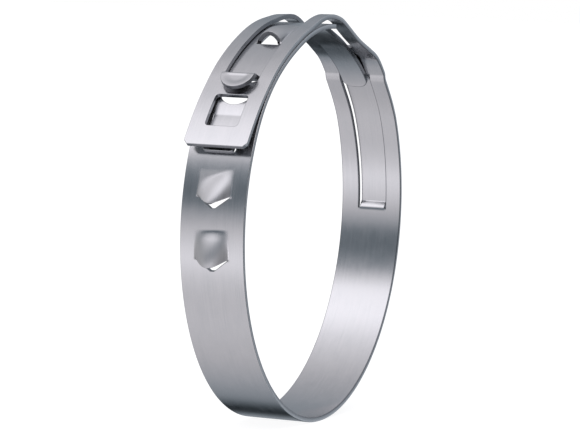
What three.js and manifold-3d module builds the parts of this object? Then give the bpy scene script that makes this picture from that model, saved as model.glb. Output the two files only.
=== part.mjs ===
// A one-strip spring-steel band that closes round a leg or a tube: the two ends of the strip lap over
// each other, windows in the outer end drop over hooks pressed out of the inner end, and a tongue on the
// inner end slides in a channel so the bore stays smooth.  The real thing is one strip.  Here it is cut
// at thirteen places where it flexes, each length one solid, so the ring can be drawn smaller.
// Millimetres.  The ring stands upright: its axis runs along Y, +Z is up, the laps are at the top.
// Angles along the strip are in degrees from the top, positive towards -X.  The inner end starts at
// -48 (tongue tip), the strip runs down the -X side, under, up the +X side and over the top again,
// so the outer end lies between 316 and 429.5 = 360 + 69.5.
import * as THREE from "three";
import Module from "manifold-3d";

const wasm = await Module();
wasm.setup();

// ---- driving dimensions ----
const BAND_WIDTH = 7.0;
const THICKNESS = 0.5;
const BORE_RADIUS = 21.0; // inside the open ring
const RING_OUTER = BORE_RADIUS + THICKNESS;
const LAP_CLEARANCE = 0.08; // between the two layers where they lie on each other
const CUT_GAP = 0.3; // between one length of the strip and the next
const TOP_SETTLE = 0.72; // how far the inner layer is pulled in at the top
const TIP_LIFT = 1.42; // how far the free end of the outer layer stands off
const WAVE_CREST = 0.5;
const WAVE_DIP = 0.48;
const STEP_RISE = 0.36; // the outer layer rises again before the joggle
const JOGGLE = 0.5; // one thickness: brings the outer layer back to the ring
const TONGUE_HALF = 1.45;
const TONGUE_TIP = -48;
const SHOULDER_END = -2;
const CHANNEL_HALF = 1.55;
const CHANNEL_SLIT = 0.27;
const CHANNEL_START = 271.5;
const CHANNEL_FULL = 274;
const JOGGLE_LOW = 313.5;
const JOGGLE_HIGH = 316.5;
const SLOT_HALF = 2.0; // long window over the top
const SLOT_START = 332;
const SLOT_END = 408;
const WINDOW_HALF = 1.8; // short window near the free end
const WINDOW_START = 414;
const WINDOW_END = 423.2;
const STRIP_END = 429.5;
const HOOK_HEIGHT = 1.1;
const HOOK_HALF = 1.6;

const HALF_WIDTH = BAND_WIDTH / 2;
const steel = { color: 0xc3c6cb, roughness: 0.32, metalness: 1.0 };

// ---- radius of the strip's outer face along its length ----
function smooth(x) {
  const s = Math.min(1, Math.max(0, x));
  return s * s * (3 - 2 * s);
}

function bell(x) {
  return Math.abs(x) < 1 ? (1 - x * x) ** 2 : 0;
}

// The inner layer: the ring, then pulled in towards the top, then the tongue dipping under the wave
// and rising again into the channel.
function innerLayer(angle) {
  let radius = RING_OUTER - TOP_SETTLE * smooth((56 - angle) / 42);
  radius -= 0.22 * smooth((SHOULDER_END - angle) / 16);
  radius += 0.62 * smooth((-24 - angle) / 24);
  return radius;
}

// The outer layer over the top and down to its free end, angle measured from the top.
function lapLayer(angle) {
  const settle = TOP_SETTLE * smooth((56 - angle) / 42);
  let radius = RING_OUTER - settle + THICKNESS + LAP_CLEARANCE;
  radius += TIP_LIFT * Math.max(0, (angle - 47) / 22.5) ** 1.7;
  radius += WAVE_CREST * bell((angle + 1.5) / 10);
  radius -= WAVE_DIP * bell((angle + 20) / 10);
  radius += STEP_RISE * smooth((-20 - angle) / 22);
  return radius;
}

function stripRadius(angle) {
  if (angle < 150) return innerLayer(angle);
  if (angle < 290) return RING_OUTER;
  const joggled = smooth((angle - JOGGLE_LOW) / (JOGGLE_HIGH - JOGGLE_LOW));
  const below = RING_OUTER - 0.28 * smooth((angle - 298) / 15.5);
  const above = lapLayer(Math.max(angle, JOGGLE_LOW) - 360);
  return below + (above - below) * joggled;
}

// ---- solids bent round the ring ----
function at(angle, y, radius) {
  const a = THREE.MathUtils.degToRad(angle);
  return [-radius * Math.sin(a), y, radius * Math.cos(a)];
}

// A plate that follows outer(angle, y), with its edges at y = low and y = high.
function plate(from, to, low, high, outer, thick, steps, across = 1) {
  const points = [];
  const faces = [];
  const columns = across + 1;
  for (let i = 0; i <= steps; i++) {
    const angle = from + ((to - from) * i) / steps;
    for (let j = 0; j <= across; j++) {
      const y = low + ((high - low) * j) / across;
      const radius = outer(angle, y);
      points.push(at(angle, y, radius), at(angle, y, radius - thick));
    }
  }
  const index = (i, j, side) => 2 * (i * columns + j) + side;
  const quad = (a, b, c, d) => faces.push([a, b, c], [a, c, d]);
  for (let i = 0; i < steps; i++) {
    for (let j = 0; j < across; j++) {
      quad(index(i, j, 0), index(i, j + 1, 0), index(i + 1, j + 1, 0), index(i + 1, j, 0));
      quad(index(i, j, 1), index(i + 1, j, 1), index(i + 1, j + 1, 1), index(i, j + 1, 1));
    }
    quad(index(i, 0, 0), index(i + 1, 0, 0), index(i + 1, 0, 1), index(i, 0, 1));
    quad(index(i, across, 1), index(i + 1, across, 1), index(i + 1, across, 0), index(i, across, 0));
  }
  for (let j = 0; j < across; j++) {
    quad(index(0, j, 1), index(0, j + 1, 1), index(0, j + 1, 0), index(0, j, 0));
    quad(index(steps, j, 0), index(steps, j + 1, 0), index(steps, j + 1, 1), index(steps, j, 1));
  }
  return solid(points, faces);
}

// A convex outline of [angle, y] corners carried from one radius to another: the punch for a window.
function punch(outline, inside = 18, outside = 26) {
  const n = outline.length;
  const points = [];
  for (const [angle, y] of outline) points.push(at(angle, y, outside), at(angle, y, inside));
  const faces = [];
  for (let k = 0; k < n; k++) {
    const m = (k + 1) % n;
    faces.push([2 * k, 2 * k + 1, 2 * m + 1], [2 * k, 2 * m + 1, 2 * m]);
  }
  for (let k = 1; k < n - 1; k++) {
    faces.push([0, 2 * k, 2 * k + 2], [1, 2 * k + 3, 2 * k + 1]);
  }
  return solid(points, faces);
}

function solid(points, faces) {
  const build = (list) =>
    new wasm.Manifold(
      new wasm.Mesh({
        numProp: 3,
        vertProperties: new Float32Array(points.flat()),
        triVerts: new Uint32Array(list.flat()),
      }),
    );
  const made = build(faces);
  return made.volume() > 0 ? made : build(faces.map(([a, b, c]) => [a, c, b]));
}

// A rectangle with rounded corners, as [angle, y] corners.
function roundedWindow(from, to, half, corner) {
  const outline = [];
  const perDegree = (Math.PI / 180) * RING_OUTER;
  const cornerAngle = corner / perDegree;
  const centres = [
    [to - cornerAngle, half - corner, 0],
    [from + cornerAngle, half - corner, 90],
    [from + cornerAngle, -half + corner, 180],
    [to - cornerAngle, -half + corner, 270],
  ];
  for (const [angle, y, start] of centres) {
    for (let step = 0; step <= 4; step++) {
      const a = THREE.MathUtils.degToRad(start + (90 * step) / 4);
      outline.push([angle + cornerAngle * Math.cos(a), y + corner * Math.sin(a)]);
    }
  }
  return outline;
}

// One length of plain strip, shortened by half the cut gap at each cut end.
const GAP_ANGLE = THREE.MathUtils.radToDeg(CUT_GAP / 2 / RING_OUTER);

function length(from, to, cutStart = true, cutEnd = true) {
  const a = from + (cutStart ? GAP_ANGLE : 0);
  const b = to - (cutEnd ? GAP_ANGLE : 0);
  const steps = Math.max(4, Math.round((b - a) / 2.5));
  return plate(a, b, -HALF_WIDTH, HALF_WIDTH, (angle) => stripRadius(angle), THICKNESS, steps);
}

// ---- hooks pressed out of the strip ----
// The strip is cut along the mouth side and drawn up into half a dome, which stays joined on three sides.
function withHook(strip, from, mouth, half, height, vee) {
  const rim = 0.06;
  const back = from + 0.25;
  const outline = [
    [mouth, half],
    [back, half],
    [back, -half],
    [mouth, -half],
    [mouth + vee, -0.35],
    [mouth + vee, 0.35],
  ];
  const roof = mouth + 0.7;
  const dome = (angle, y) => {
    const along = smooth(((angle - from) / (roof - from)) * 1.35);
    const across = Math.max(0, 1 - (Math.abs(y) / (half + rim)) ** 2.4) ** 0.8;
    return stripRadius(angle) + height * along * across;
  };
  const shell = plate(from, mouth, -half - rim, half + rim, dome, THICKNESS * 0.9, 8, 10);
  const eave = plate(mouth - 0.5, roof, -half * 0.86, half * 0.86, dome, THICKNESS * 0.9, 2, 8);
  return strip.subtract(punch(outline)).add(shell).add(eave);
}

// A flat tab cut on three sides and bent outward: tall(angle) is how far it stands off.
function withTab(strip, root, tip, half, tall, round) {
  const hole = [
    [tip - round, half + 0.15],
    [root, half + 0.15],
    [root, -half - 0.15],
    [tip - round, -half - 0.15],
    [tip - round * 0.3, -half * 0.75],
    [tip + 0.5, -half * 0.3],
    [tip + 0.5, half * 0.3],
    [tip - round * 0.3, half * 0.75],
  ];
  const raised = (angle) => stripRadius(root) + tall(angle);
  const square = plate(root - 0.6, tip - round, -half, half, raised, THICKNESS, 8);
  const end = plate(tip - round - 0.3, tip, -half * 0.55, half * 0.55, raised, THICKNESS, 4);
  const joined = strip.subtract(punch(hole)).add(square);
  return round > 0 ? joined.add(end) : joined;
}

// ---- the lengths of the strip ----
const pieces = {};

// Under the ring: plain strip, the part a bench or a hand holds.
pieces.loop_base = length(158, 202);

// The side below the hooks.
pieces.left_wall = length(113, 158);

// Two hooks, one after the other, that hold the windows of the outer end.
pieces.twin_hook_section = withHook(
  withHook(length(71.5, 113), 73.7, 81.4, HOOK_HALF, HOOK_HEIGHT, 3.2),
  90.7,
  98.4,
  HOOK_HALF,
  HOOK_HEIGHT,
  3.2,
);

// The round retaining tab that keeps the open lap from springing off, and the low ramp tab below it.
const retainingRise = (angle) => 1.5 * smooth((angle - 43.9) / 3.1) + 0.06 * smooth((angle - 48) / 5);
const rampRise = (angle) => 0.5 * smooth((angle - 58) / 13);
pieces.tab_section = withTab(
  withTab(length(36, 71.5), 44, 53.6, 1.75, retainingRise, 3.6),
  58.3,
  69,
  1.5,
  rampRise,
  0,
);

// The top of the inner layer, with its own hook, ending in two blunt shoulders beside the tongue.
const topStrip = length(SHOULDER_END, 36, false, true);
pieces.shoulder_section = withHook(topStrip, 17, 28.2, 1.5, 1.0, 2.4);

// The tongue that slides in the channel and carries the bore across the step.
const tongueEnd = TONGUE_TIP + 3;
const tongueRadius = (angle) => innerLayer(angle);
const tongueBody = plate(
  tongueEnd,
  SHOULDER_END - 2 * GAP_ANGLE,
  -TONGUE_HALF,
  TONGUE_HALF,
  tongueRadius,
  THICKNESS,
  20,
);
const tongueTip = plate(
  TONGUE_TIP,
  tongueEnd + 0.2,
  -TONGUE_HALF * 0.72,
  TONGUE_HALF * 0.72,
  tongueRadius,
  THICKNESS,
  2,
);
pieces.tongue = tongueBody.add(tongueTip);

// Up the far side of the ring.
pieces.right_lower_wall = length(202, 238);
pieces.right_wall = length(238, 269);

// The channel: the middle of the strip is slit along both sides and set out by one thickness.
const channelSection = length(269, 312);
const slits = [
  [312.5, CHANNEL_HALF + CHANNEL_SLIT],
  [CHANNEL_START, CHANNEL_HALF + CHANNEL_SLIT],
  [CHANNEL_START, -CHANNEL_HALF - CHANNEL_SLIT],
  [312.5, -CHANNEL_HALF - CHANNEL_SLIT],
];
function channelRadius(angle) {
  const set = smooth((angle - CHANNEL_START + 0.3) / (CHANNEL_FULL - CHANNEL_START));
  return stripRadius(angle) + (THICKNESS + 0.06) * set;
}
const channelFloor = plate(
  270,
  312 - GAP_ANGLE,
  -CHANNEL_HALF,
  CHANNEL_HALF,
  channelRadius,
  THICKNESS,
  20,
);
pieces.channel_section = channelSection.subtract(punch(slits)).add(channelFloor);

// The full-width step that lifts the outer end over the inner one.
const joggleStrip = length(312, 330);
const mouthCut = punch([
  [JOGGLE_HIGH, CHANNEL_HALF + CHANNEL_SLIT],
  [311, CHANNEL_HALF + CHANNEL_SLIT],
  [311, -CHANNEL_HALF - CHANNEL_SLIT],
  [JOGGLE_HIGH, -CHANNEL_HALF - CHANNEL_SLIT],
]);
const mouthFloor = plate(
  312 + GAP_ANGLE,
  JOGGLE_HIGH + 0.3,
  -CHANNEL_HALF - CHANNEL_SLIT,
  CHANNEL_HALF + CHANNEL_SLIT,
  (angle) => {
    const floor = channelRadius(Math.min(angle, 313));
    return floor + (lapLayer(angle - 360) - floor) * smooth((angle - 313) / 3.5);
  },
  THICKNESS,
  4,
);
pieces.joggle_section = joggleStrip.subtract(mouthCut).add(mouthFloor);

// Two rails beside the long window, waved so the closed band keeps a spring load.
const rearWindow = punch(roundedWindow(SLOT_START, 372, SLOT_HALF, 1.2));
const frontWindow = punch(roundedWindow(364, SLOT_END, SLOT_HALF, 0.6));
pieces.wave_section = length(330, 368).subtract(rearWindow);

// The front of the two rails, joined by the bar below the long window.
pieces.lap_front = length(368, 410).subtract(frontWindow);

// The free end, in two lengths: the bar with the start of the short window, then the rest of the window
// with a plain grip and two clipped corners.
const shortWindow = punch(roundedWindow(WINDOW_START, WINDOW_END, WINDOW_HALF, 0.45));
const clip = (side) =>
  punch([
    [STRIP_END - 1.3, side * (HALF_WIDTH + 0.1)],
    [STRIP_END + 0.4, side * (HALF_WIDTH - 0.6)],
    [STRIP_END + 0.4, side * (HALF_WIDTH + 0.1)],
  ]);
pieces.lap_bar = length(410, 416).subtract(shortWindow);
pieces.lap_tip = length(416, STRIP_END, true, false)
  .subtract(shortWindow)
  .subtract(clip(1))
  .subtract(clip(-1));

// ---- meshes ----
const group = new THREE.Group();
group.name = "leg_band";
for (const [name, body] of Object.entries(pieces)) {
  const mesh = body.getMesh();
  const geometry = new THREE.BufferGeometry();
  geometry.setAttribute("position", new THREE.BufferAttribute(new Float32Array(mesh.vertProperties), 3));
  geometry.setIndex(new THREE.BufferAttribute(new Uint32Array(mesh.triVerts), 1));
  geometry.computeVertexNormals();
  const made = new THREE.Mesh(geometry, new THREE.MeshStandardMaterial(steel));
  made.name = name;
  group.add(made);
}

export default group;
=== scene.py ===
# %% [markdown]
# # A one-strip steel leg band, standing open on its edge
#
# The real object is a single strip of stainless steel, about 7 mm wide and half a millimetre thick.
# It is punched flat in a press (windows, slits, hooks and tabs) and then rolled into a ring.
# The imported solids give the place, the size and the joints; here the strip is drawn again with every
# pressed detail, its rounded sheared rims and its rolled satin finish.

import bpy
import numpy as np
from mathutils import Matrix, Vector


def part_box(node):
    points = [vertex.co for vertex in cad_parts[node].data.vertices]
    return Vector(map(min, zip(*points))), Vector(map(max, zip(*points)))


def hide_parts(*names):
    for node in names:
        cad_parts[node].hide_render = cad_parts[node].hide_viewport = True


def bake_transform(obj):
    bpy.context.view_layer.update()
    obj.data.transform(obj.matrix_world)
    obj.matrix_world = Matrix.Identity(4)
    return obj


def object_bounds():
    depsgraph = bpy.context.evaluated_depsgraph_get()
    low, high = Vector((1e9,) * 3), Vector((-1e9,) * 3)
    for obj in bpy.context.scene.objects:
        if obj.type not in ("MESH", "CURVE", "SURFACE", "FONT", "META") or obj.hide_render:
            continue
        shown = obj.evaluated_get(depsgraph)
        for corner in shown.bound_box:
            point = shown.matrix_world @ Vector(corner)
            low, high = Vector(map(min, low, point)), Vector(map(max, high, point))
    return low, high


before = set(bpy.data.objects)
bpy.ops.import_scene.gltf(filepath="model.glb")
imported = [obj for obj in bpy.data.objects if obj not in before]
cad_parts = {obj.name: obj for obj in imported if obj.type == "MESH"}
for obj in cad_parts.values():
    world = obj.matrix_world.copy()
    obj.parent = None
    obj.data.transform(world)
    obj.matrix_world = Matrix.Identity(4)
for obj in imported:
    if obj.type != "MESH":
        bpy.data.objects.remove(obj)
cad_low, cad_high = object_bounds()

MM = 0.001
print("packed model, mm:", [round(v / MM, 2) for v in (*cad_low, *cad_high)])

# %% [markdown]
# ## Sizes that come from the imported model
#
# Every place on the strip is told by an angle from the top of the ring, positive towards the hooks,
# and by a distance across the strip.  The ring's radius and the strip's width are read from the packed
# base length, so the drawn strip can't drift away from the solids that it stands for.

# %% Ring and strip
base_low, base_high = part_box("loop_base")
RING_OUTER = round(-base_low.z / MM, 1)
HALF_WIDTH = round(base_high.y / MM, 2)
THICKNESS = 0.5
FULL_TURN = 360
MM_PER_DEGREE = np.pi / 180 * RING_OUTER
print("ring radius", RING_OUTER, "half width", HALF_WIDTH, "thickness", THICKNESS)

# %% [markdown]
# ## The line of the strip
#
# Seen from the side the strip is a circle that laps over itself at the top.  The inner end is pulled in
# a little so the outer end can pass over it; the outer end dips, waves and finally stands off at its
# free tip.  The line could be drawn by hand as a curve, but here it is a sum of smooth steps and bumps,
# so that the same formula serves the layer under it and the layer over it.


# %% Smooth steps and the radius along the strip
def smooth(x):
    """Smooth step: 3 x squared minus 2 x cubed, held at 0 below 0 and at 1 above 1."""
    s = np.clip(x, 0.0, 1.0)
    return s * s * (3 - 2 * s)


def bell(x):
    """Round bump: the square of one minus x squared between -1 and 1, nothing outside."""
    return np.where(np.abs(x) < 1, (1 - np.minimum(np.abs(x), 1) ** 2) ** 2, 0.0)


# Heights are in mm.  Each "from" is the angle where a change starts and each "reach" its length.
TOP_SETTLE, SETTLE_FROM, SETTLE_REACH = 0.82, 60, 37
SHOULDER_DIP, SHOULDER_END, SHOULDER_REACH = 0.32, -2.0, 16
TONGUE_RISE, TONGUE_FROM, TONGUE_REACH = 0.62, -24, 24
LAP_CLEARANCE = 0.08
TIP_LIFT, TIP_FROM, TIP_REACH, TIP_CURVE = 1.18, 47, 22.5, 1.8
WAVE_CREST, CREST_AT, CREST_REACH = 0.38, -2.5, 15
WAVE_DIP, DIP_AT, DIP_REACH = 0.56, -21, 16
CREST_SKEW, CREST_EASE, DIP_EASE = 1.5, 0.02, 0.06  # per mm across the strip
STEP_RISE, STEP_FROM, STEP_REACH = 0.21, -30, 10
MOUTH_DIP, MOUTH_DIP_FROM, MOUTH_DIP_REACH = 0.32, 298, 15.5
JOGGLE_LOW, JOGGLE_HIGH = 314.0, 316.2
HOOK_SIDE_END, LAP_SIDE_START = 150, 290


def settled(angle):
    """How far both layers are pulled in towards the top."""
    return TOP_SETTLE * smooth((SETTLE_FROM - angle) / SETTLE_REACH)


def inner_layer(angle):
    """Ring radius, less the settle, less a dip past the shoulders, plus the tongue's rise."""
    radius = RING_OUTER - settled(angle) - SHOULDER_DIP * smooth((SHOULDER_END - angle) / SHOULDER_REACH)
    return radius + TONGUE_RISE * smooth((TONGUE_FROM - angle) / TONGUE_REACH)


def lap_layer(angle, y=0.0):
    """The layer below plus one thickness and a clearance, plus tip lift, crest, dip and step.
    The crest runs slightly askew: its top is further round on the far rail than on the near one."""
    radius = RING_OUTER - settled(angle) + THICKNESS + LAP_CLEARANCE
    radius = radius + TIP_LIFT * np.maximum(0, (angle - TIP_FROM) / TIP_REACH) ** TIP_CURVE
    crest = (WAVE_CREST - CREST_EASE * y) * bell((angle - CREST_AT + CREST_SKEW * y) / CREST_REACH)
    dip = (WAVE_DIP - DIP_EASE * y) * bell((angle - DIP_AT) / DIP_REACH)
    return radius + crest - dip + STEP_RISE * smooth((STEP_FROM - angle) / STEP_REACH)


def strip_radius(angle, y=0.0):
    """Inner layer on the hook side, then the plain ring, then a joggle that lifts into the lap layer."""
    joggled = smooth((angle - JOGGLE_LOW) / (JOGGLE_HIGH - JOGGLE_LOW))
    below = RING_OUTER - MOUTH_DIP * smooth((angle - MOUTH_DIP_FROM) / MOUTH_DIP_REACH)
    above = lap_layer(np.maximum(angle, JOGGLE_LOW) - FULL_TURN, y)
    outer = np.where(angle < LAP_SIDE_START, RING_OUTER, below + (above - below) * joggled)
    return np.where(angle < HOOK_SIDE_END, inner_layer(angle), outer)


print("radius at tip, top and base:", strip_radius(np.array([429.0, 360.0, 180.0])).round(2))

# %% [markdown]
# ## The punched outline
#
# All the openings were cut while the strip was flat.  The simplest way to model that is a distance
# function on the flat strip: negative where there is steel, positive where there is none.  Windows are
# rounded rectangles, the holes in front of the hooks are pointed, and the two tabs and the channel are
# freed by narrow slits.  A boolean cut would do it too, but it leaves ragged triangles on a bent sheet.

# %% Distance functions of the flat strip
SLIT = 0.2


def rounded_box(angle, y, start, end, half, corner):
    """Signed distance in mm to a box with rounded corners, negative inside."""
    along = np.abs(angle - (start + end) / 2) * MM_PER_DEGREE - (end - start) / 2 * MM_PER_DEGREE
    along = along + corner
    across = np.abs(y) - half + corner
    outside = np.hypot(np.maximum(along, 0), np.maximum(across, 0))
    return outside + np.minimum(np.maximum(along, across), 0) - corner


def pointed_hole(angle, y, mouth, depth, half, point):
    """Largest of three half-plane distances: past the mouth, short of the point, between the slopes."""
    run = depth * MM_PER_DEGREE
    slope = (half - point) / run
    past = (angle - mouth) * MM_PER_DEGREE
    side = (np.abs(y) - half + slope * past) / np.hypot(1, slope)
    return np.maximum(np.maximum(-past, past - run), side)


# Angles are in degrees and sizes in mm.  Start and mouth are the ends of a hook, and full, late and level
# say how it rises: a share rises evenly, the rest in one smooth step that comes late and may run askew.
# Arch is how sharply it rounds off sideways, and lean pushes the lip forward over its own hole.
HOOKS = {
    "top hook": dict(
        start=8.5, mouth=25.6, half=1.32, height=1.08, arch=0.8,
        level=0.0, late=0.0, full=0.95, skew=0.0, lean=-0.7, hole=1.6, point=1.2,
    ),
    "upper hook": dict(
        start=73.7, mouth=81.4, half=1.85, height=1.2, arch=1.5,
        level=0.0, late=0.2, full=0.85, skew=0.12, lean=2.2, hole=3.3, point=0.2,
    ),
    "lower hook": dict(
        start=90.7, mouth=98.4, half=1.85, height=1.25, arch=1.4,
        level=0.3, late=-0.02, full=0.95, skew=0.05, lean=1.8, hole=3.4, point=0.2,
    ),
}
RETAINING_ROOT, RETAINING_TIP, RETAINING_HALF, RETAINING_CORNER = 44.0, 54.5, 1.73, 1.75
RAMP_ROOT, RAMP_TIP, RAMP_HALF, RAMP_CORNER = 58.3, 69.0, 1.5, 0.25
PAST_TIP = 2.5  # degrees past a tab's tip that still count as beside it
CHANNEL_HALF, CHANNEL_START, CHANNEL_END, CHANNEL_SLIT = 1.55, 270.0, 316.5, 0.27
TONGUE_HALF, TONGUE_TIP, TONGUE_ROOT, TONGUE_CORNER = 1.45, -48.0, 10.0, 1.1
STRIP_END, BODY_END, SHOULDER_CORNER, TIP_CLIP = 429.0, 450.0, 0.35, 0.42
RAIL_WINDOW_START, RAIL_WINDOW_END, RAIL_WINDOW_HALF = 332.0, 408.0, 2.0
LOCK_WINDOW_START, LOCK_WINDOW_END, LOCK_WINDOW_HALF, LOCK_CORNER = 412.9, 423.2, 1.8, 0.4
HIDDEN_ROOT = 8  # degrees that a tab's box runs on behind its root


def retaining_tab(angle, y):
    """Signed distance to the round-ended tab, which is open towards its root."""
    return rounded_box(
        angle, y, RETAINING_ROOT - HIDDEN_ROOT, RETAINING_TIP, RETAINING_HALF, RETAINING_CORNER
    )


def ramp_tab(angle, y):
    """Signed distance to the square-ended tab."""
    return rounded_box(angle, y, RAMP_ROOT - HIDDEN_ROOT, RAMP_TIP, RAMP_HALF, RAMP_CORNER)


def slit_round(tab, angle, root):
    """A slit of constant width outside a tab, from its root on."""
    return np.maximum(np.maximum(-tab, tab - SLIT), (root - angle) * MM_PER_DEGREE)


def channel_slits(angle, y):
    """Signed distance to the two straight slits beside the channel floor, negative inside."""
    between = np.maximum(np.abs(y) - CHANNEL_HALF - CHANNEL_SLIT, CHANNEL_HALF - np.abs(y))
    before = (CHANNEL_START - angle) * MM_PER_DEGREE
    after = (angle - CHANNEL_END) * MM_PER_DEGREE
    return np.maximum(between, np.maximum(before, after))


def steel(angle, y):
    """Signed distance to the edge of the steel on the flat strip, negative in the steel."""
    body = rounded_box(angle, y, SHOULDER_END, BODY_END, HALF_WIDTH, SHOULDER_CORNER)
    past_end = (angle - STRIP_END) * MM_PER_DEGREE
    clipped = (np.abs(y) - HALF_WIDTH + past_end + TIP_CLIP) / np.sqrt(2)
    body = np.maximum(np.maximum(body, past_end), clipped)
    tongue = rounded_box(angle, y, TONGUE_TIP, TONGUE_ROOT, TONGUE_HALF, TONGUE_CORNER)
    edge = np.minimum(body, tongue)
    rail_corner = np.where(angle < 370, 1.2, 0.6)
    holes = [
        rounded_box(angle, y, RAIL_WINDOW_START, RAIL_WINDOW_END, RAIL_WINDOW_HALF, rail_corner),
        rounded_box(angle, y, LOCK_WINDOW_START, LOCK_WINDOW_END, LOCK_WINDOW_HALF, LOCK_CORNER),
        slit_round(retaining_tab(angle, y), angle, RETAINING_ROOT),
        slit_round(ramp_tab(angle, y), angle, RAMP_ROOT),
        channel_slits(angle, y),
    ]
    for hook in HOOKS.values():
        holes.append(pointed_hole(angle, y, hook["mouth"], hook["hole"], hook["half"], hook["point"]))
    for hole in holes:
        edge = np.maximum(edge, -hole)
    return edge


print("steel between the windows:", steel(np.array([411.0]), np.array([0.0])).round(2))

# %% [markdown]
# ## Pressing and bending
#
# A hook is a pillow pushed up from the strip and open at its mouth.  The retaining tab rises in an S
# and then lies over the bar of the lap; the ramp tab slopes evenly up from a crease.  The channel floor
# is set out by one thickness so that the tongue can slide under it.  Each is a height added to the
# radius, as a function of the place on the flat strip, so the sheet keeps its thickness.

# %% Slits that close again when the tabs are pressed
SLIT_CLOSED = 0.07
SLIT_REACH = 0.35


def slit_distance(angle, y):
    """Distance in mm to the nearest of the narrow slits, positive in the steel."""
    near = slit_round(retaining_tab(angle, y), angle, RETAINING_ROOT)
    near = np.minimum(near, slit_round(ramp_tab(angle, y), angle, RAMP_ROOT))
    return np.minimum(near, channel_slits(angle, y))


def close_slits(angle, y, reach=0.02):
    """Moves each point down the slope of the slit distance by a share that fades out into the steel."""
    da = reach / MM_PER_DEGREE
    along = slit_distance(angle + da, y) - slit_distance(angle - da, y)
    across = slit_distance(angle, y + reach) - slit_distance(angle, y - reach)
    size = np.maximum(np.hypot(along, across), 1e-9)
    share = SLIT_CLOSED * (1 - smooth(slit_distance(angle, y) / SLIT_REACH))
    return angle - share * along / size / MM_PER_DEGREE, y - share * across / size


print("widest a closed slit stays, mm:", round(CHANNEL_SLIT - 2 * SLIT_CLOSED, 2))

# %% How far each hook and tab is pressed out
FLOOR_DEPTH, FLOOR_CREASE, FLOOR_REACH = 0.56, 0.3, 2.5
MOUTH_FROM, MOUTH_REACH = 313.0, 3.5
RAIL_TAPER, TAPER_FROM, TAPER_REACH, TAPER_START, TAPER_RAMP = 0.26, 316, 44, 262, 8
TAPER_AT, TAPER_WIDTH = 1.7, 1.6
HOOK_OVERRUN, HOOK_SPREAD = 1.03, 1.05
TAB_USED, TAB_USED_REACH = 2.9, 5.2
TAB_RISE, TAB_RISE_REACH = 1.45, 2.8
TAB_TILT, TAB_TILT_FROM, TAB_TILT_REACH = 0.25, 46, 7
DISH_EDGE, DISH_WIDTH, DISH_MIDDLE, DISH_REACH = 0.2, 1.0, 0.12, 1.5
RAMP_CREASE, RAMP_SLOPE = 0.2, 0.075
RAMP_STRETCH, RAMP_STRETCH_FROM, RAMP_SPREAD = 0.5, 66, 0.07


def channel_floor(angle):
    """Wall radius plus one step outwards at the channel's end, led over into the lap at its mouth."""
    floor = strip_radius(np.minimum(angle, MOUTH_FROM))
    floor = floor + FLOOR_DEPTH * smooth((angle - CHANNEL_START + FLOOR_CREASE) / FLOOR_REACH)
    into_lap = smooth((angle - MOUTH_FROM) / MOUTH_REACH)
    return floor + (lap_layer(angle - FULL_TURN) - floor) * into_lap


def hook_push(angle, y, hook):
    """Height in mm and forward shift in degrees: a rise along the hook times a round arch across it."""
    along = (angle - hook["start"]) / (hook["mouth"] - hook["start"])
    across = np.abs(y) / hook["half"]
    inside = (along > 0) & (along < HOOK_OVERRUN) & (across < HOOK_SPREAD)
    arch = np.maximum(0, 1 - (across / HOOK_SPREAD) ** 2) ** hook["arch"]
    askew = along - hook["skew"] * y
    rise = hook["level"] * along
    rise = rise + (1 - hook["level"]) * smooth((askew - hook["late"]) / hook["full"])
    lean = hook["lean"] * smooth((along - 0.3) / 0.7) * arch
    return np.where(inside, hook["height"] * (rise * arch), 0), np.where(inside, lean, 0)


def tab_push(angle, from_rim):
    """Moved angle and height of the retaining tab: an S, a slight tilt, and a dish with a raised rim."""
    moved = angle - TAB_USED * smooth((angle - RETAINING_ROOT) / TAB_USED_REACH)
    rise = TAB_RISE * smooth((moved - RETAINING_ROOT) / TAB_RISE_REACH)
    rise = rise + TAB_TILT * smooth((moved - TAB_TILT_FROM) / TAB_TILT_REACH)
    dish = DISH_EDGE * (1 - smooth(from_rim / DISH_WIDTH)) - DISH_MIDDLE
    return moved, rise + dish * smooth((moved - TAB_TILT_FROM) / DISH_REACH)


# %% Where a point of the flat strip ends up
def on_retaining_tab(angle, y):
    """Whether a place on the flat strip belongs to the retaining tab."""
    beside = (angle > RETAINING_ROOT) & (angle < RETAINING_TIP + PAST_TIP)
    return beside & (retaining_tab(angle, y) < SLIT / 2)


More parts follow.
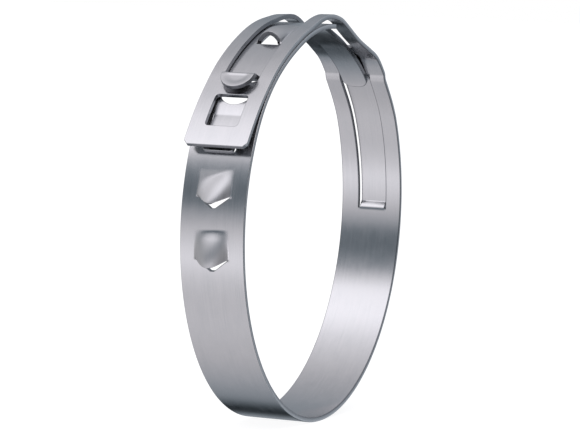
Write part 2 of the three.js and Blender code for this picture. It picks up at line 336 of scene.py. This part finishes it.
def bent(flat_angle, flat_y):
    """Point in mm: x is minus radius times sine, z is radius times cosine of the moved angle."""
    on_tab = on_retaining_tab(flat_angle, flat_y)
    on_ramp = (flat_angle > RAMP_ROOT) & (flat_angle < RAMP_TIP + 1)
    on_ramp &= ramp_tab(flat_angle, flat_y) < SLIT / 2
    in_channel = np.abs(flat_y) < CHANNEL_HALF + CHANNEL_SLIT / 2
    in_channel &= (flat_angle > CHANNEL_START - FLOOR_CREASE) & (flat_angle < CHANNEL_END + 0.3)

    angle, y = close_slits(flat_angle, flat_y)
    taper = RAIL_TAPER * smooth((TAPER_FROM - flat_angle) / TAPER_REACH)
    taper = taper * smooth((flat_angle - TAPER_START) / TAPER_RAMP)
    y = y - taper * np.clip(1 - np.abs(flat_y - TAPER_AT) / TAPER_WIDTH, 0, 1)
    radius = np.where(in_channel, channel_floor(angle), strip_radius(angle, y))

    moved = angle
    for hook in HOOKS.values():
        height, lean = hook_push(angle, y, hook)
        radius = radius + height
        moved = moved + lean

    tab_moved, tab_rise = tab_push(angle, -retaining_tab(flat_angle, flat_y))
    root = strip_radius(np.full_like(angle, RETAINING_ROOT))
    radius = np.where(on_tab, root + tab_rise, radius)
    moved = np.where(on_tab, tab_moved, moved)

    past_crease = np.maximum(0, angle - RAMP_ROOT - RAMP_CREASE)
    stretched = angle + RAMP_STRETCH * smooth((angle - RAMP_STRETCH_FROM) / 3)
    radius = np.where(on_ramp, radius + RAMP_SLOPE * past_crease, radius)
    moved = np.where(on_ramp, stretched, moved)
    y = np.where(on_ramp, y * (1 + RAMP_SPREAD * smooth(past_crease / 3)), y)

    a = np.radians(moved)
    return np.stack([-radius * np.sin(a), y, radius * np.cos(a)], axis=-1)


TAB_DRAWN = 0.5
EDGE_SHARPNESS, SIDE_SHARPNESS, DRAWN_SPREAD = 5, 4, 1.1


def formed(angle, y):
    """How strongly the steel has been drawn: one on a hook, fading to zero on the plain strip."""
    amount = 0 * angle
    for hook in HOOKS.values():
        along = (angle - hook["start"]) / (hook["mouth"] - hook["start"])
        across = np.abs(y) / hook["half"]
        here = smooth(along * EDGE_SHARPNESS) * smooth((DRAWN_SPREAD - across) * SIDE_SHARPNESS)
        amount = np.maximum(amount, here * (along < HOOK_SPREAD))
    return np.where(on_retaining_tab(angle, y), TAB_DRAWN, amount)


lip = bent(np.array([98.4]), np.array([0.0]))[0]
print("lip of the lower hook stands out to, mm:", round(float(np.hypot(lip[0], lip[2])), 2))

# %% [markdown]
# ## The grid
#
# The whole strip is one grid: rows every tenth of a millimetre along it, columns every tenth across.
# Cells that lie in an opening are dropped, and the vertices along each opening are moved onto its true
# outline along the slope of the distance function.  It is cut into thirteen pieces only afterwards, at
# whole rows, so that neighbours share their vertices and the seams between them can't be seen.

# %% Rows, columns and the cells that hold steel
CUTS = [-48, 8, 56.8, 87.5, 135.5, 180, 220, 253.5, 290, 321, 349, 389, 413, STRIP_END]
ROW_STEP = 0.27
row_counts = [max(2, round((b - a) / ROW_STEP)) for a, b in zip(CUTS, CUTS[1:])]
rows = [np.linspace(a, b, n, endpoint=False) for a, b, n in zip(CUTS, CUTS[1:], row_counts)]
rows = np.append(np.concatenate(rows), CUTS[-1])
columns = np.linspace(-HALF_WIDTH, HALF_WIDTH, 71)
first_row = np.concatenate([[0], np.cumsum(row_counts)])

angle_grid, y_grid = np.meshgrid(rows, columns, indexing="ij")
mid_angle = (angle_grid[:-1, :-1] + angle_grid[1:, 1:]) / 2
mid_y = (y_grid[:-1, :-1] + y_grid[1:, 1:]) / 2
CELL_INSET = 0.015  # mm that a cell's middle must lie inside the outline to be kept
kept = steel(mid_angle, mid_y) < -CELL_INSET


def padded_cells(cells):
    """The cell mask with one row and column of empty cells all round."""
    return np.pad(cells, 1)


def drop_touching_corners(cells):
    """Drops one of two kept cells that meet only at a corner, which would pinch the wall there."""
    p = padded_cells(cells)
    a, b, c, d = p[:-1, :-1], p[:-1, 1:], p[1:, :-1], p[1:, 1:]
    pinch = (a & d & ~b & ~c) | (b & c & ~a & ~d)
    lone = np.zeros_like(p)
    lone[1:, 1:] |= pinch & d
    lone[1:, :-1] |= pinch & c & ~d
    return cells & ~lone[1:-1, 1:-1]


for _ in range(3):
    kept = drop_touching_corners(kept)
around = padded_cells(kept)
corner_cells = np.stack([around[:-1, :-1], around[:-1, 1:], around[1:, :-1], around[1:, 1:]])
on_edge = corner_cells.any(0) & ~corner_cells.all(0)
inside = corner_cells.all(0)
print("cells kept:", int(kept.sum()), "of", kept.size, "edge vertices:", int(on_edge.sum()))

# %% [markdown]
# The slope of the distance function points straight out of the steel, so it serves twice: to move the
# edge vertices onto the outline, and later to know which way a rim faces.


# %% Move the edge vertices onto the outline
def slope_of(angle, y, reach=0.03):
    """Slope of the distance to the edge, by differences over a short reach, as a unit vector."""
    da = reach / MM_PER_DEGREE
    along = steel(angle + da, y) - steel(angle - da, y)
    across = steel(angle, y + reach) - steel(angle, y - reach)
    size = np.maximum(np.hypot(along, across), 1e-9)
    return along / size, across / size


edge_angle, edge_y = angle_grid[on_edge], y_grid[on_edge]
for _ in range(3):
    off = np.clip(steel(edge_angle, edge_y), -0.1, 0.1)
    along, across = slope_of(edge_angle, edge_y)
    edge_angle = edge_angle - off * along / MM_PER_DEGREE
    edge_y = np.clip(edge_y - off * across, -HALF_WIDTH, HALF_WIDTH)
angle_grid[on_edge], y_grid[on_edge] = edge_angle, edge_y

near_edge = np.zeros_like(inside)
grown = np.pad(on_edge, 2)
for i in range(5):
    for j in range(5):
        near_edge |= grown[i : i + on_edge.shape[0], j : j + on_edge.shape[1]]
relax = (near_edge & inside)[1:-1, 1:-1]
for _ in range(6):
    for field in (angle_grid, y_grid):
        mean = (field[:-2, 1:-1] + field[2:, 1:-1] + field[1:-1, :-2] + field[1:-1, 2:]) / 4
        field[1:-1, 1:-1] = np.where(relax, mean, field[1:-1, 1:-1])
print("largest miss of the outline, mm:", float(np.abs(steel(edge_angle, edge_y)).max().round(3)))

# %% [markdown]
# ## Two skins and a rounded rim
#
# Sheet metal that has been sheared has a small rollover, so its rim is never a sharp corner; that thin
# rounded line is what catches the light.  The outer skin is the bent sheet, the inner skin lies one
# thickness below along the sheet's own normals, and four rings of vertices carry the rim round between
# them.  A Bevel would do it, but then every rim would also need its weights painted.

# %% Normals, rim directions and the rings of the rim
point = bent(angle_grid, y_grid)


def normals_of(points, cells):
    """Sum of the cross products of each kept cell's diagonals at its four corners, made unit length."""
    one = points[1:, 1:] - points[:-1, :-1]
    two = points[:-1, 1:] - points[1:, :-1]
    facing = np.cross(one, two) * cells[..., None]
    total = np.zeros_like(points)
    total[:-1, :-1] += facing
    total[1:, :-1] += facing
    total[:-1, 1:] += facing
    total[1:, 1:] += facing
    return total / np.maximum(np.linalg.norm(total, axis=-1, keepdims=True), 1e-12)


normal = normals_of(point, kept)
radial = point * [1, 0, 1]
outward = np.sign((normal * radial).sum(-1)[kept.shape[0] // 2, 35])
normal *= outward

RIM_ROUND = 0.07
STEP_IN = 0.05
edge_along = np.zeros_like(angle_grid)
edge_across = np.zeros_like(angle_grid)
edge_along[on_edge], edge_across[on_edge] = slope_of(angle_grid[on_edge], y_grid[on_edge], 0.012)
inner_point = bent(
    angle_grid[on_edge] - edge_along[on_edge] * STEP_IN / MM_PER_DEGREE,
    y_grid[on_edge] - edge_across[on_edge] * STEP_IN,
)
facing_out = np.zeros_like(point)
facing_out[on_edge] = point[on_edge] - inner_point
facing_out -= (facing_out * normal).sum(-1, keepdims=True) * normal
facing_out /= np.maximum(np.linalg.norm(facing_out, axis=-1, keepdims=True), 1e-12)
facing_out[~on_edge] = 0

TURNS = np.radians([0, 45, 90])
ring_inset = [RIM_ROUND * (1 - np.sin(t)) for t in TURNS]
ring_depth = [RIM_ROUND * (1 - np.cos(t)) for t in TURNS]
ring_inset += ring_inset[::-1]
ring_depth += [THICKNESS - d for d in ring_depth[::-1]]
ring_points = [
    point - inset * facing_out - depth * normal for inset, depth in zip(ring_inset, ring_depth)
]
ring_turn = list(TURNS) + [np.pi - t for t in TURNS[::-1]]
ring_normals = [np.cos(t) * normal + np.sin(t) * facing_out for t in ring_turn]
# How bright each ring is (burnished steel plus a painted highlight) and how dark (broken steel plus
# painted shade, heavier on the rims of openings, where the gaps between the layers lie in shadow), from
# the outer skin to the inner one.
RIM_BURNISH_AND_HIGHLIGHT = [0.0, 0.7, 1.0, 1.0, 0.7, 0.0]
TORN_AND_SHADE_OUTER = [0.0, 0.0, 0.1, 0.9, 1.0, 0.7]
TORN_AND_SHADE_INNER = [0.0, 0.4, 0.9, 1.0, 1.0, 0.8]
print("rings of the rim, depth in mm:", [round(float(d), 3) for d in ring_depth])

# %% [markdown]
# ## Rolled satin stainless
#
# Strip stock comes from the rolling mill with very fine lines along its length, slightly uneven gloss
# and a few faint stains; sheared rims are rougher, brighter from burnish and a painted highlight, and
# darker towards the inner skin from broken steel and painted shade.  The finish reads the piece's own
# map, whose first direction runs along the strip, so the lines follow the bend.  An image of brushed
# metal would repeat, and a texture fixed in space would run straight through the ring.


# %% Helpers that add nodes to a finish
def fill_ramp(node, stops):
    """Sets the stops of a colour ramp node from (place between 0 and 1, colour) pairs."""
    elements = node.color_ramp.elements
    while len(elements) < len(stops):
        elements.new(0.5)
    for element, (place, colour) in zip(elements, stops):
        element.position = place
        element.color = (*colour, 1)


class Finish:
    """A material and its node tree, with short calls for the nodes that this finish uses."""

    def __init__(self, name):
        self.material = bpy.data.materials.new(name)
        self.material.use_nodes = True
        self.nodes = self.material.node_tree.nodes
        self.links = self.material.node_tree.links
        self.nodes.clear()

    def node(self, kind, **settings):
        made = self.nodes.new(kind)
        for key, value in settings.items():
            setattr(made, key, value)
        return made

    def join(self, source, target):
        self.links.new(source, target)

    def math(self, operation, first, second):
        made = self.node("ShaderNodeMath", operation=operation)
        for socket, value in zip(made.inputs, (first, second)):
            if isinstance(value, (int, float)):
                socket.default_value = value
            else:
                self.join(value, socket)
        return made.outputs[0]

    def noise(self, vector, stretch, scale, detail, rough=0.5):
        """Noise on a stretched copy of the map: the stretch is how much finer it is along and across."""
        mapping = self.node("ShaderNodeMapping")
        mapping.inputs["Scale"].default_value = (*stretch, 1)
        self.join(vector, mapping.inputs["Vector"])
        made = self.node("ShaderNodeTexNoise", noise_dimensions="2D")
        made.inputs["Scale"].default_value = scale
        made.inputs["Detail"].default_value = detail
        made.inputs["Roughness"].default_value = rough
        self.join(mapping.outputs[0], made.inputs["Vector"])
        return made.outputs["Fac"]

    def ramp(self, factor, stops):
        made = self.node("ShaderNodeValToRGB")
        fill_ramp(made, stops)
        self.join(factor, made.inputs["Fac"])
        return made.outputs["Color"]

    def range(self, value, low, high, to_low, to_high):
        made = self.node("ShaderNodeMapRange")
        numbers = (low, high, to_low, to_high)
        for name, number in zip(("From Min", "From Max", "To Min", "To Max"), numbers):
            made.inputs[name].default_value = number
        self.join(value, made.inputs["Value"])
        return made.outputs[0]

    def mix(self, factor, first, second):
        made = self.node("ShaderNodeMix", data_type="RGBA")
        self.join(factor, made.inputs["Factor"])
        for socket, value in ((made.inputs["A"], first), (made.inputs["B"], second)):
            if isinstance(value, tuple):
                socket.default_value = (*value, 1)
            else:
                self.join(value, socket)
        return made.outputs["Result"]


# %% The finish itself
def rolled_stainless():
    """Metal with fine rolling lines along the strip, mottled gloss, and sheared rims with a painted
    highlight and painted shade.
    """
    finish = Finish("rolled_satin_stainless")
    uv = finish.node("ShaderNodeUVMap", uv_map="along_strip").outputs["UV"]
    rim = finish.node("ShaderNodeAttribute", attribute_name="rim").outputs["Fac"]
    torn_and_shade = finish.node("ShaderNodeAttribute", attribute_name="torn_and_shade").outputs["Fac"]
    drawn = finish.node("ShaderNodeAttribute", attribute_name="drawn").outputs["Fac"]

    lines = finish.noise(uv, (0.5, 40), 2.2, 4, 0.6)
    hair = finish.noise(uv, (1.2, 110), 2.0, 3, 0.6)
    mottle = finish.noise(uv, (2.0, 3.4), 2.6, 4, 0.55)
    grain = finish.math("ADD", finish.math("MULTIPLY", lines, 0.6), finish.math("MULTIPLY", hair, 0.4))

    tone = finish.math("ADD", finish.math("MULTIPLY", grain, 0.65), finish.math("MULTIPLY", mottle, 0.35))
    colour = finish.ramp(
        tone,
        [(0.30, (0.59, 0.595, 0.61)), (0.50, (0.635, 0.635, 0.65)), (0.70, (0.675, 0.67, 0.685))],
    )
    # Rims get brighter: burnished steel plus a painted highlight.
    colour = finish.mix(finish.range(rim, 0.2, 1.0, 0.0, 0.7), colour, (0.74, 0.75, 0.77))
    # Rims get darker towards the inner skin: broken steel plus painted shade, the shadow in the gaps
    # between layers.
    colour = finish.mix(finish.range(torn_and_shade, 0.0, 1.0, 0.0, 0.85), colour, (0.15, 0.16, 0.18))

    rough = finish.range(mottle, 0.3, 0.7, 0.17, 0.22)
    rough = finish.math("ADD", rough, finish.range(grain, 0.3, 0.7, -0.02, 0.03))
    rough = finish.math("ADD", rough, finish.math("MULTIPLY", rim, 0.08))
    rough = finish.math("ADD", rough, finish.math("MULTIPLY", drawn, 0.26))

    bump = finish.node("ShaderNodeBump")
    bump.inputs["Strength"].default_value = 0.12
    bump.inputs["Distance"].default_value = 0.00001
    finish.join(grain, bump.inputs["Height"])

    tangent = finish.node("ShaderNodeTangent", direction_type="UV_MAP", uv_map="along_strip")
    shader = finish.node("ShaderNodeBsdfPrincipled")
    shader.inputs["Metallic"].default_value = 1.0
    shader.inputs["Anisotropic"].default_value = 0.5
    shader.inputs["Anisotropic Rotation"].default_value = 0.25
    finish.join(colour, shader.inputs["Base Color"])
    finish.join(rough, shader.inputs["Roughness"])
    finish.join(bump.outputs["Normal"], shader.inputs["Normal"])
    finish.join(tangent.outputs["Tangent"], shader.inputs["Tangent"])
    output = finish.node("ShaderNodeOutputMaterial")
    finish.join(shader.outputs["BSDF"], output.inputs["Surface"])
    return finish.material


strip_finish = rolled_stainless()
print("finish has", len(strip_finish.node_tree.nodes), "nodes")

# %% [markdown]
# ## From grid to mesh
#
# Each piece is a band of rows.  Its faces are the kept cells on both skins, the rim strips along every
# edge of the steel, and a flat wall where the strip goes on in the next piece.  All of it is indexing
# on whole arrays, so even a hundred thousand faces take a fraction of a second.

# %% One piece of the strip
FACE_TURN = -1  # the rows run round the ring so that faces listed in reading order would face inwards
ROUND_RINGS = len(ring_points)
index_grid = np.arange(angle_grid.size).reshape(angle_grid.shape)
flat_rings = np.stack([ring.reshape(-1, 3) for ring in ring_points])
flat_normals = np.stack([n.reshape(-1, 3) for n in ring_normals])
INNER_RIM_HALF = 3.3  # mm from the middle: rims nearer than this belong to openings
inner_rim = (np.abs(y_grid) < INNER_RIM_HALF).ravel()
flat_formed = formed(angle_grid, y_grid).ravel()
flat_map = np.stack([angle_grid * MM_PER_DEGREE, y_grid], axis=-1).reshape(-1, 2)
flat_slope = np.stack([edge_along, edge_across], axis=-1).reshape(-1, 2)


def edges_where(cells, first, last):
    """Start and end vertices of the cell sides that face no kept cell, and those that face a cut."""
    p = padded_cells(kept)
    i, j = np.nonzero(cells)
    i = i + first
    sides = {
        "low_y": (index_grid[i, j], index_grid[i + 1, j], ~p[i + 1, j], None),
        "high_y": (index_grid[i + 1, j + 1], index_grid[i, j + 1], ~p[i + 1, j + 2], None),
        "start": (index_grid[i, j + 1], index_grid[i, j], ~p[i, j + 1], i == first),
        "end": (index_grid[i + 1, j], index_grid[i + 1, j + 1], ~p[i + 2, j + 1], i == last - 1),
    }
    rim, cut = [], []
    for begin, finish, empty, at_cut in sides.values():
        rim.append(np.stack([begin[empty], finish[empty]], axis=1))
        if at_cut is not None:
            here = at_cut & ~empty
            cut.append(np.stack([begin[here], finish[here]], axis=1))
    return np.concatenate(rim), np.concatenate(cut), (i, j)


def faces_of(first, last):
    """Skins, rims and cut walls of the rows from first to last, as vertex numbers ring by ring."""
    size = angle_grid.size
    rim, cut, (i, j) = edges_where(kept[first:last], first, last)
    skin = np.stack(
        [index_grid[i, j], index_grid[i + 1, j], index_grid[i + 1, j + 1], index_grid[i, j + 1]], axis=1
    )
    inner = (ROUND_RINGS - 1) * size
    quads = [skin, skin[:, ::-1] + inner]
    begin, end = rim[:, 0], rim[:, 1]
    for ring in range(ROUND_RINGS - 1):
        above, below = ring * size, (ring + 1) * size
        quads.append(np.stack([end + above, begin + above, begin + below, end + below], axis=1))
    walls = np.stack([cut[:, 1], cut[:, 0], cut[:, 0] + inner, cut[:, 1] + inner], axis=1)
    levels = np.arange(ROUND_RINGS) * size
    starts_cut = np.isin(begin, cut[:, 1])
    ends_cut = np.isin(end, cut[:, 0])
    caps = np.concatenate([begin[starts_cut][:, None] + levels[::-1], end[ends_cut][:, None] + levels])
    return np.concatenate(quads), walls, caps


def strip_piece(name, first, last):
    """A closed mesh of the rows from first to last, in metres, with its map, rim mark and finish."""
    quads, walls, caps = faces_of(first, last)
    quads = np.concatenate([quads, walls])[:, ::FACE_TURN]
    corners = np.concatenate([quads.ravel(), caps[:, ::FACE_TURN].ravel()])
    used, corners = np.unique(corners, return_inverse=True)
    ring, place = np.divmod(used, angle_grid.size)

    mesh = bpy.data.meshes.new(name)
    mesh.vertices.add(len(used))
    mesh.vertices.foreach_set("co", (flat_rings[ring, place] * MM).astype(np.float32).ravel())
    mesh.loops.add(len(corners))
    mesh.loops.foreach_set("vertex_index", corners.astype(np.int32).ravel())
    total = len(quads) + len(caps)
    cap_starts = quads.size + np.arange(len(caps)) * ROUND_RINGS
    mesh.polygons.add(total)
    starts = np.concatenate([np.arange(len(quads)) * 4, cap_starts])
    mesh.polygons.foreach_set("loop_start", starts.astype(np.int32))
    mesh.update(calc_edges=True)
    mesh.polygons.foreach_set("use_smooth", np.ones(total, bool))
    corner_normals = flat_normals[ring, place][corners.ravel()]
    positions = flat_rings[ring, place][corners.ravel()]
    for begin, size, count in (
        ((len(quads) - len(walls)) * 4, 4, len(walls)),
        (quads.size, ROUND_RINGS, len(caps)),
    ):
        block = positions[begin : begin + size * count].reshape(count, size, 3)
        facing = np.cross(block[:, size // 2] - block[:, 0], block[:, -1] - block[:, 1])
        facing /= np.maximum(np.linalg.norm(facing, axis=1, keepdims=True), 1e-12)
        corner_normals[begin : begin + size * count] = np.repeat(facing, size, axis=0)

    shift = np.array(ring_depth)[ring][:, None] * flat_slope[place]
    map_points = (flat_map[place] + shift) / 10
    layer = mesh.uv_layers.new(name="along_strip")
    layer.data.foreach_set("uv", map_points[corners.ravel()].astype(np.float32).ravel())
    # Darkening of the rims: broken steel plus painted shade, heavier on the rims of openings.
    shade_mark = mesh.attributes.new("torn_and_shade", "FLOAT", "POINT")
    torn_and_shade = np.where(inner_rim[place], np.array(TORN_AND_SHADE_INNER)[ring], np.array(TORN_AND_SHADE_OUTER)[ring])
    shade_mark.data.foreach_set("value", (torn_and_shade * on_edge.ravel()[place]).astype(np.float32))
    # Brightening of the rims: burnished steel plus a painted highlight.
    rim_highlight_mark = mesh.attributes.new("rim", "FLOAT", "POINT")
    marks = np.array(RIM_BURNISH_AND_HIGHLIGHT)[ring] * on_edge.ravel()[place]
    rim_highlight_mark.data.foreach_set("value", marks.astype(np.float32))
    mesh.validate()
    mesh.normals_split_custom_set(corner_normals.astype(np.float32))
    drawn_mark = mesh.attributes.new("drawn", "FLOAT", "POINT")
    drawn_mark.data.foreach_set("value", flat_formed[place].astype(np.float32))
    mesh.materials.append(strip_finish)
    made = bpy.data.objects.new(name, mesh)
    bpy.context.scene.collection.objects.link(made)
    return made


# %% [markdown]
# ## Thirteen pieces of the strip
#
# The real strip is one springy piece, so nothing may crack open when the ring is drawn smaller.  Each
# piece spans one flexing place, and it ends where the strip is stiff, which is where its neighbour
# follows the same body.  Each piece is built from its rows, and the two solids that it stands for are
# hidden.

# %% The pieces, the flexing place in each, and the solids that they stand for
PIECES = [
    # name, first cut, body where the bend starts, body where it ends, bend starts, bend ends
    ("tongue_strip", 0, "shoulder_section", "tongue", 4.0, -6.0),
    ("top_hook_strip", 1, "tab_section", "shoulder_section", 43.0, 32.0),
    ("tab_and_upper_hook_strip", 2, "twin_hook_section", "tab_section", 73.5, 69.5),
    ("lower_hook_strip", 3, "left_wall", "twin_hook_section", 122.0, 104.0),
    ("left_base_strip", 4, "loop_base", "left_wall", 172.0, 144.0),
    ("right_base_strip", 5, "loop_base", "right_lower_wall", 190.0, 214.0),
    ("right_side_strip", 6, "right_lower_wall", "right_wall", 226.0, 248.0),
    ("channel_start_strip", 7, "right_wall", "channel_section", 261.0, 277.0),
    ("channel_mouth_strip", 8, "channel_section", "joggle_section", 305.0, 319.0),
    ("joggle_strip", 9, "joggle_section", "wave_section", 323.0, 340.0),
    ("rail_strip", 10, "wave_section", "lap_front", 356.0, 380.0),
    ("lap_bar_strip", 11, "lap_front", "lap_bar", 403.0, 412.6),
    ("lap_tip_strip", 12, "lap_bar", "lap_tip", 413.4, 418.6),
]


def volume_of(piece):
    """Sum over triangles of a . (b x c) / 6 in cubic mm, above zero only if the faces look outward."""
    piece.data.calc_loop_triangles()
    at = np.zeros(len(piece.data.vertices) * 3)
    piece.data.vertices.foreach_get("co", at)
    places = np.zeros(len(piece.data.loop_triangles) * 3, int)
    piece.data.loop_triangles.foreach_get("vertices", places)
    a, b, c = at.reshape(-1, 3)[places.reshape(-1, 3)].transpose(1, 0, 2)
    return float((a * np.cross(b, c)).sum() / 6 / MM**3)


for name, cut, body_a, body_b, bend_start, bend_end in PIECES:
    piece = strip_piece(name, int(first_row[cut]), int(first_row[cut + 1]))
    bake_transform(piece)
    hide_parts(body_a, body_b)
    print(name, len(piece.data.polygons), "faces,", round(volume_of(piece), 2), "cubic mm")

# %% [markdown]
# ## Floor and light
#
# The band stands on a white surface in a light tent.  What gives polished strip its look is mostly what
# it mirrors, so the surroundings matter more than any lamp: bright overhead, a dark gap just above the
# horizon on the open side of the tent, pale cloth below it.  The surroundings are a ramp of brightness
# round the ring's axis.

# %% Surroundings that the steel mirrors
SURROUND = [
    # degrees round the ring's axis from +X through up, brightness
    (0, 0.25), (14, 0.27), (34, 0.37), (64, 0.55), (80, 0.72), (94, 0.90), (102, 1.05), (108, 1.20),
    (118, 1.42), (136, 1.36), (143, 0.85), (149, 0.38), (156, 0.24), (164, 0.18), (171, 0.23),
    (177, 0.48), (184, 0.70), (194, 0.95), (203, 1.10), (214, 0.84), (224, 0.74), (244, 0.74),
    (264, 0.64), (284, 0.48), (295, 0.38), (304, 0.30), (311, 0.12), (318, 0.02), (326, 0.02),
    (334, 0.25), (345, 0.38),
]
# Share of that brightness, and glow added to it, by how far a direction leans towards the far side (+Y).
SIDE_SHARE = [
    (-1, 0.15), (-0.72, 0.3), (-0.52, 0.9), (-0.42, 1.6), (-0.3, 1.4), (-0.1, 1.0), (0.6, 1.0), (0.9, 0.3),
]
POLE_GLOW = [(-1, 0.06), (-0.75, 0.02), (-0.6, 0.0), (0.55, 0.0), (0.8, 0.3), (1, 0.45)]
DARK_TINT = np.array([0.80, 1.02, 1.20])
LIGHT_TINT = np.array([1.00, 0.985, 1.03])
TINT_LEVEL = 0.6  # brightness from which the tint is fully the light one


def surround_stops():
    """The steps of brightness, tinted colder where they are dark, over one turn."""
    stops = []
    for degrees, level in SURROUND:
        tint = DARK_TINT + (LIGHT_TINT - DARK_TINT) * min(1.0, level / TINT_LEVEL)
        stops.append((degrees / FULL_TURN, level * tint))
    return stops


def tent(world):
    """World shader: brightness by the angle round the ring's axis times a share by the side, plus a glow
    towards the two poles of the axis, and plain white where the camera looks at it."""
    world.use_nodes = True
    nodes, links = world.node_tree.nodes, world.node_tree.links
    nodes.clear()
    direction = nodes.new("ShaderNodeTexCoord")
    parts = nodes.new("ShaderNodeSeparateXYZ")
    links.new(direction.outputs["Generated"], parts.inputs[0])
    turn = nodes.new("ShaderNodeMath")
    turn.operation = "ARCTAN2"
    links.new(parts.outputs["Z"], turn.inputs[0])
    links.new(parts.outputs["X"], turn.inputs[1])
    wrap = nodes.new("ShaderNodeMath")
    wrap.operation = "DIVIDE"
    links.new(turn.outputs[0], wrap.inputs[0])
    wrap.inputs[1].default_value = 2 * np.pi
    fraction = nodes.new("ShaderNodeMath")
    fraction.operation = "FRACT"
    links.new(wrap.outputs[0], fraction.inputs[0])
    ramp_node = nodes.new("ShaderNodeValToRGB")
    fill_ramp(ramp_node, surround_stops())
    links.new(fraction.outputs[0], ramp_node.inputs["Fac"])
    across = nodes.new("ShaderNodeMapRange")
    across.inputs["From Min"].default_value = -1
    links.new(parts.outputs["Y"], across.inputs["Value"])
    by_side = []
    for stops in (SIDE_SHARE, POLE_GLOW):
        side = nodes.new("ShaderNodeValToRGB")
        fill_ramp(side, [((place + 1) / 2, (share, share, share)) for place, share in stops])
        links.new(across.outputs[0], side.inputs["Fac"])
        by_side.append(side.outputs["Color"])
    pole = nodes.new("ShaderNodeBackground")
    links.new(by_side[1], pole.inputs["Strength"])
    both = nodes.new("ShaderNodeAddShader")
    links.new(pole.outputs[0], both.inputs[1])
    mirrored = nodes.new("ShaderNodeBackground")
    links.new(ramp_node.outputs["Color"], mirrored.inputs["Color"])
    links.new(by_side[0], mirrored.inputs["Strength"])
    links.new(mirrored.outputs[0], both.inputs[0])
    white = nodes.new("ShaderNodeBackground")
    white.inputs["Color"].default_value = (1, 1, 1, 1)
    path = nodes.new("ShaderNodeLightPath")
    choose = nodes.new("ShaderNodeMixShader")
    links.new(path.outputs["Is Camera Ray"], choose.inputs["Fac"])
    links.new(both.outputs[0], choose.inputs[1])
    links.new(white.outputs[0], choose.inputs[2])
    output = nodes.new("ShaderNodeOutputWorld")
    links.new(choose.outputs[0], output.inputs["Surface"])


scene = bpy.context.scene
scene.world = bpy.data.worlds.new("light_tent")
tent(scene.world)
scene.view_settings.view_transform = "Standard"
print("surroundings with", len(SURROUND), "steps of brightness")


# %% The pale floor
FLOOR_GLOW = 0.88


def pale_floor(half_size, height):
    """A square floor whose finish is mostly its own even white, so the shadow under the band is faint."""
    mesh = bpy.data.meshes.new("pale_floor")
    corners = [(-half_size, -half_size), (half_size, -half_size)]
    corners += [(half_size, half_size), (-half_size, half_size)]
    mesh.from_pydata([(x, y, height) for x, y in corners], [], [(0, 1, 2, 3)])
    finish = Finish("white_card")
    even = finish.node("ShaderNodeEmission")
    even.inputs["Color"].default_value = (1, 1, 1, 1)
    even.inputs["Strength"].default_value = FLOOR_GLOW
    card = finish.node("ShaderNodeBsdfDiffuse")
    card.inputs["Color"].default_value = (0.3, 0.3, 0.3, 1)
    both = finish.node("ShaderNodeAddShader")
    finish.join(even.outputs[0], both.inputs[0])
    finish.join(card.outputs[0], both.inputs[1])
    output = finish.node("ShaderNodeOutputMaterial")
    finish.join(both.outputs[0], output.inputs["Surface"])
    mesh.materials.append(finish.material)
    floor = bpy.data.objects.new("pale_floor", mesh)
    scene.collection.objects.link(floor)
    floor.visible_glossy = False
    return floor


pale_floor(6.0, cad_low[2])

# %% [markdown]
# ## The camera
#
# A long lens from a third of a metre, a little above the band's middle and well round to the hook side,
# so that the ring is seen as a narrow ellipse.  The camera is tilted a little about its own axis.

# %% Place the camera
AZIMUTH, ELEVATION, DISTANCE, ROLL = -66.79, 3.99, 345.2, 2.25
FOCAL_SHARE = 5.6  # focal length as a multiple of the sensor's width
SHIFT_X = -0.01155  # share of the picture's width


def aim_camera():
    """Camera on a sphere round the ring's centre, looking at the centre, rolled about its own axis."""
    az, el = np.radians(AZIMUTH), np.radians(ELEVATION)
    away = Vector((np.sin(az) * np.cos(el), -np.cos(az) * np.cos(el), np.sin(el)))
    forward = -away
    right = forward.cross(Vector((0, 0, 1))).normalized()
    up = right.cross(forward)
    roll = np.radians(ROLL)
    right_rolled = right * np.cos(roll) + up * np.sin(roll)
    up_rolled = up * np.cos(roll) - right * np.sin(roll)
    lens = bpy.data.cameras.new("camera")
    lens.sensor_width = 36.0
    lens.lens = 36.0 * FOCAL_SHARE
    lens.shift_x = SHIFT_X
    lens.clip_start, lens.clip_end = 0.01, 50
    camera = bpy.data.objects.new("camera", lens)
    turn = Matrix((right_rolled, up_rolled, -forward)).transposed().to_4x4()
    camera.matrix_world = Matrix.Translation(away * DISTANCE * MM) @ turn
    scene.collection.objects.link(camera)
    return camera


scene.camera = aim_camera()
print("camera at", [round(v, 4) for v in scene.camera.matrix_world.translation])
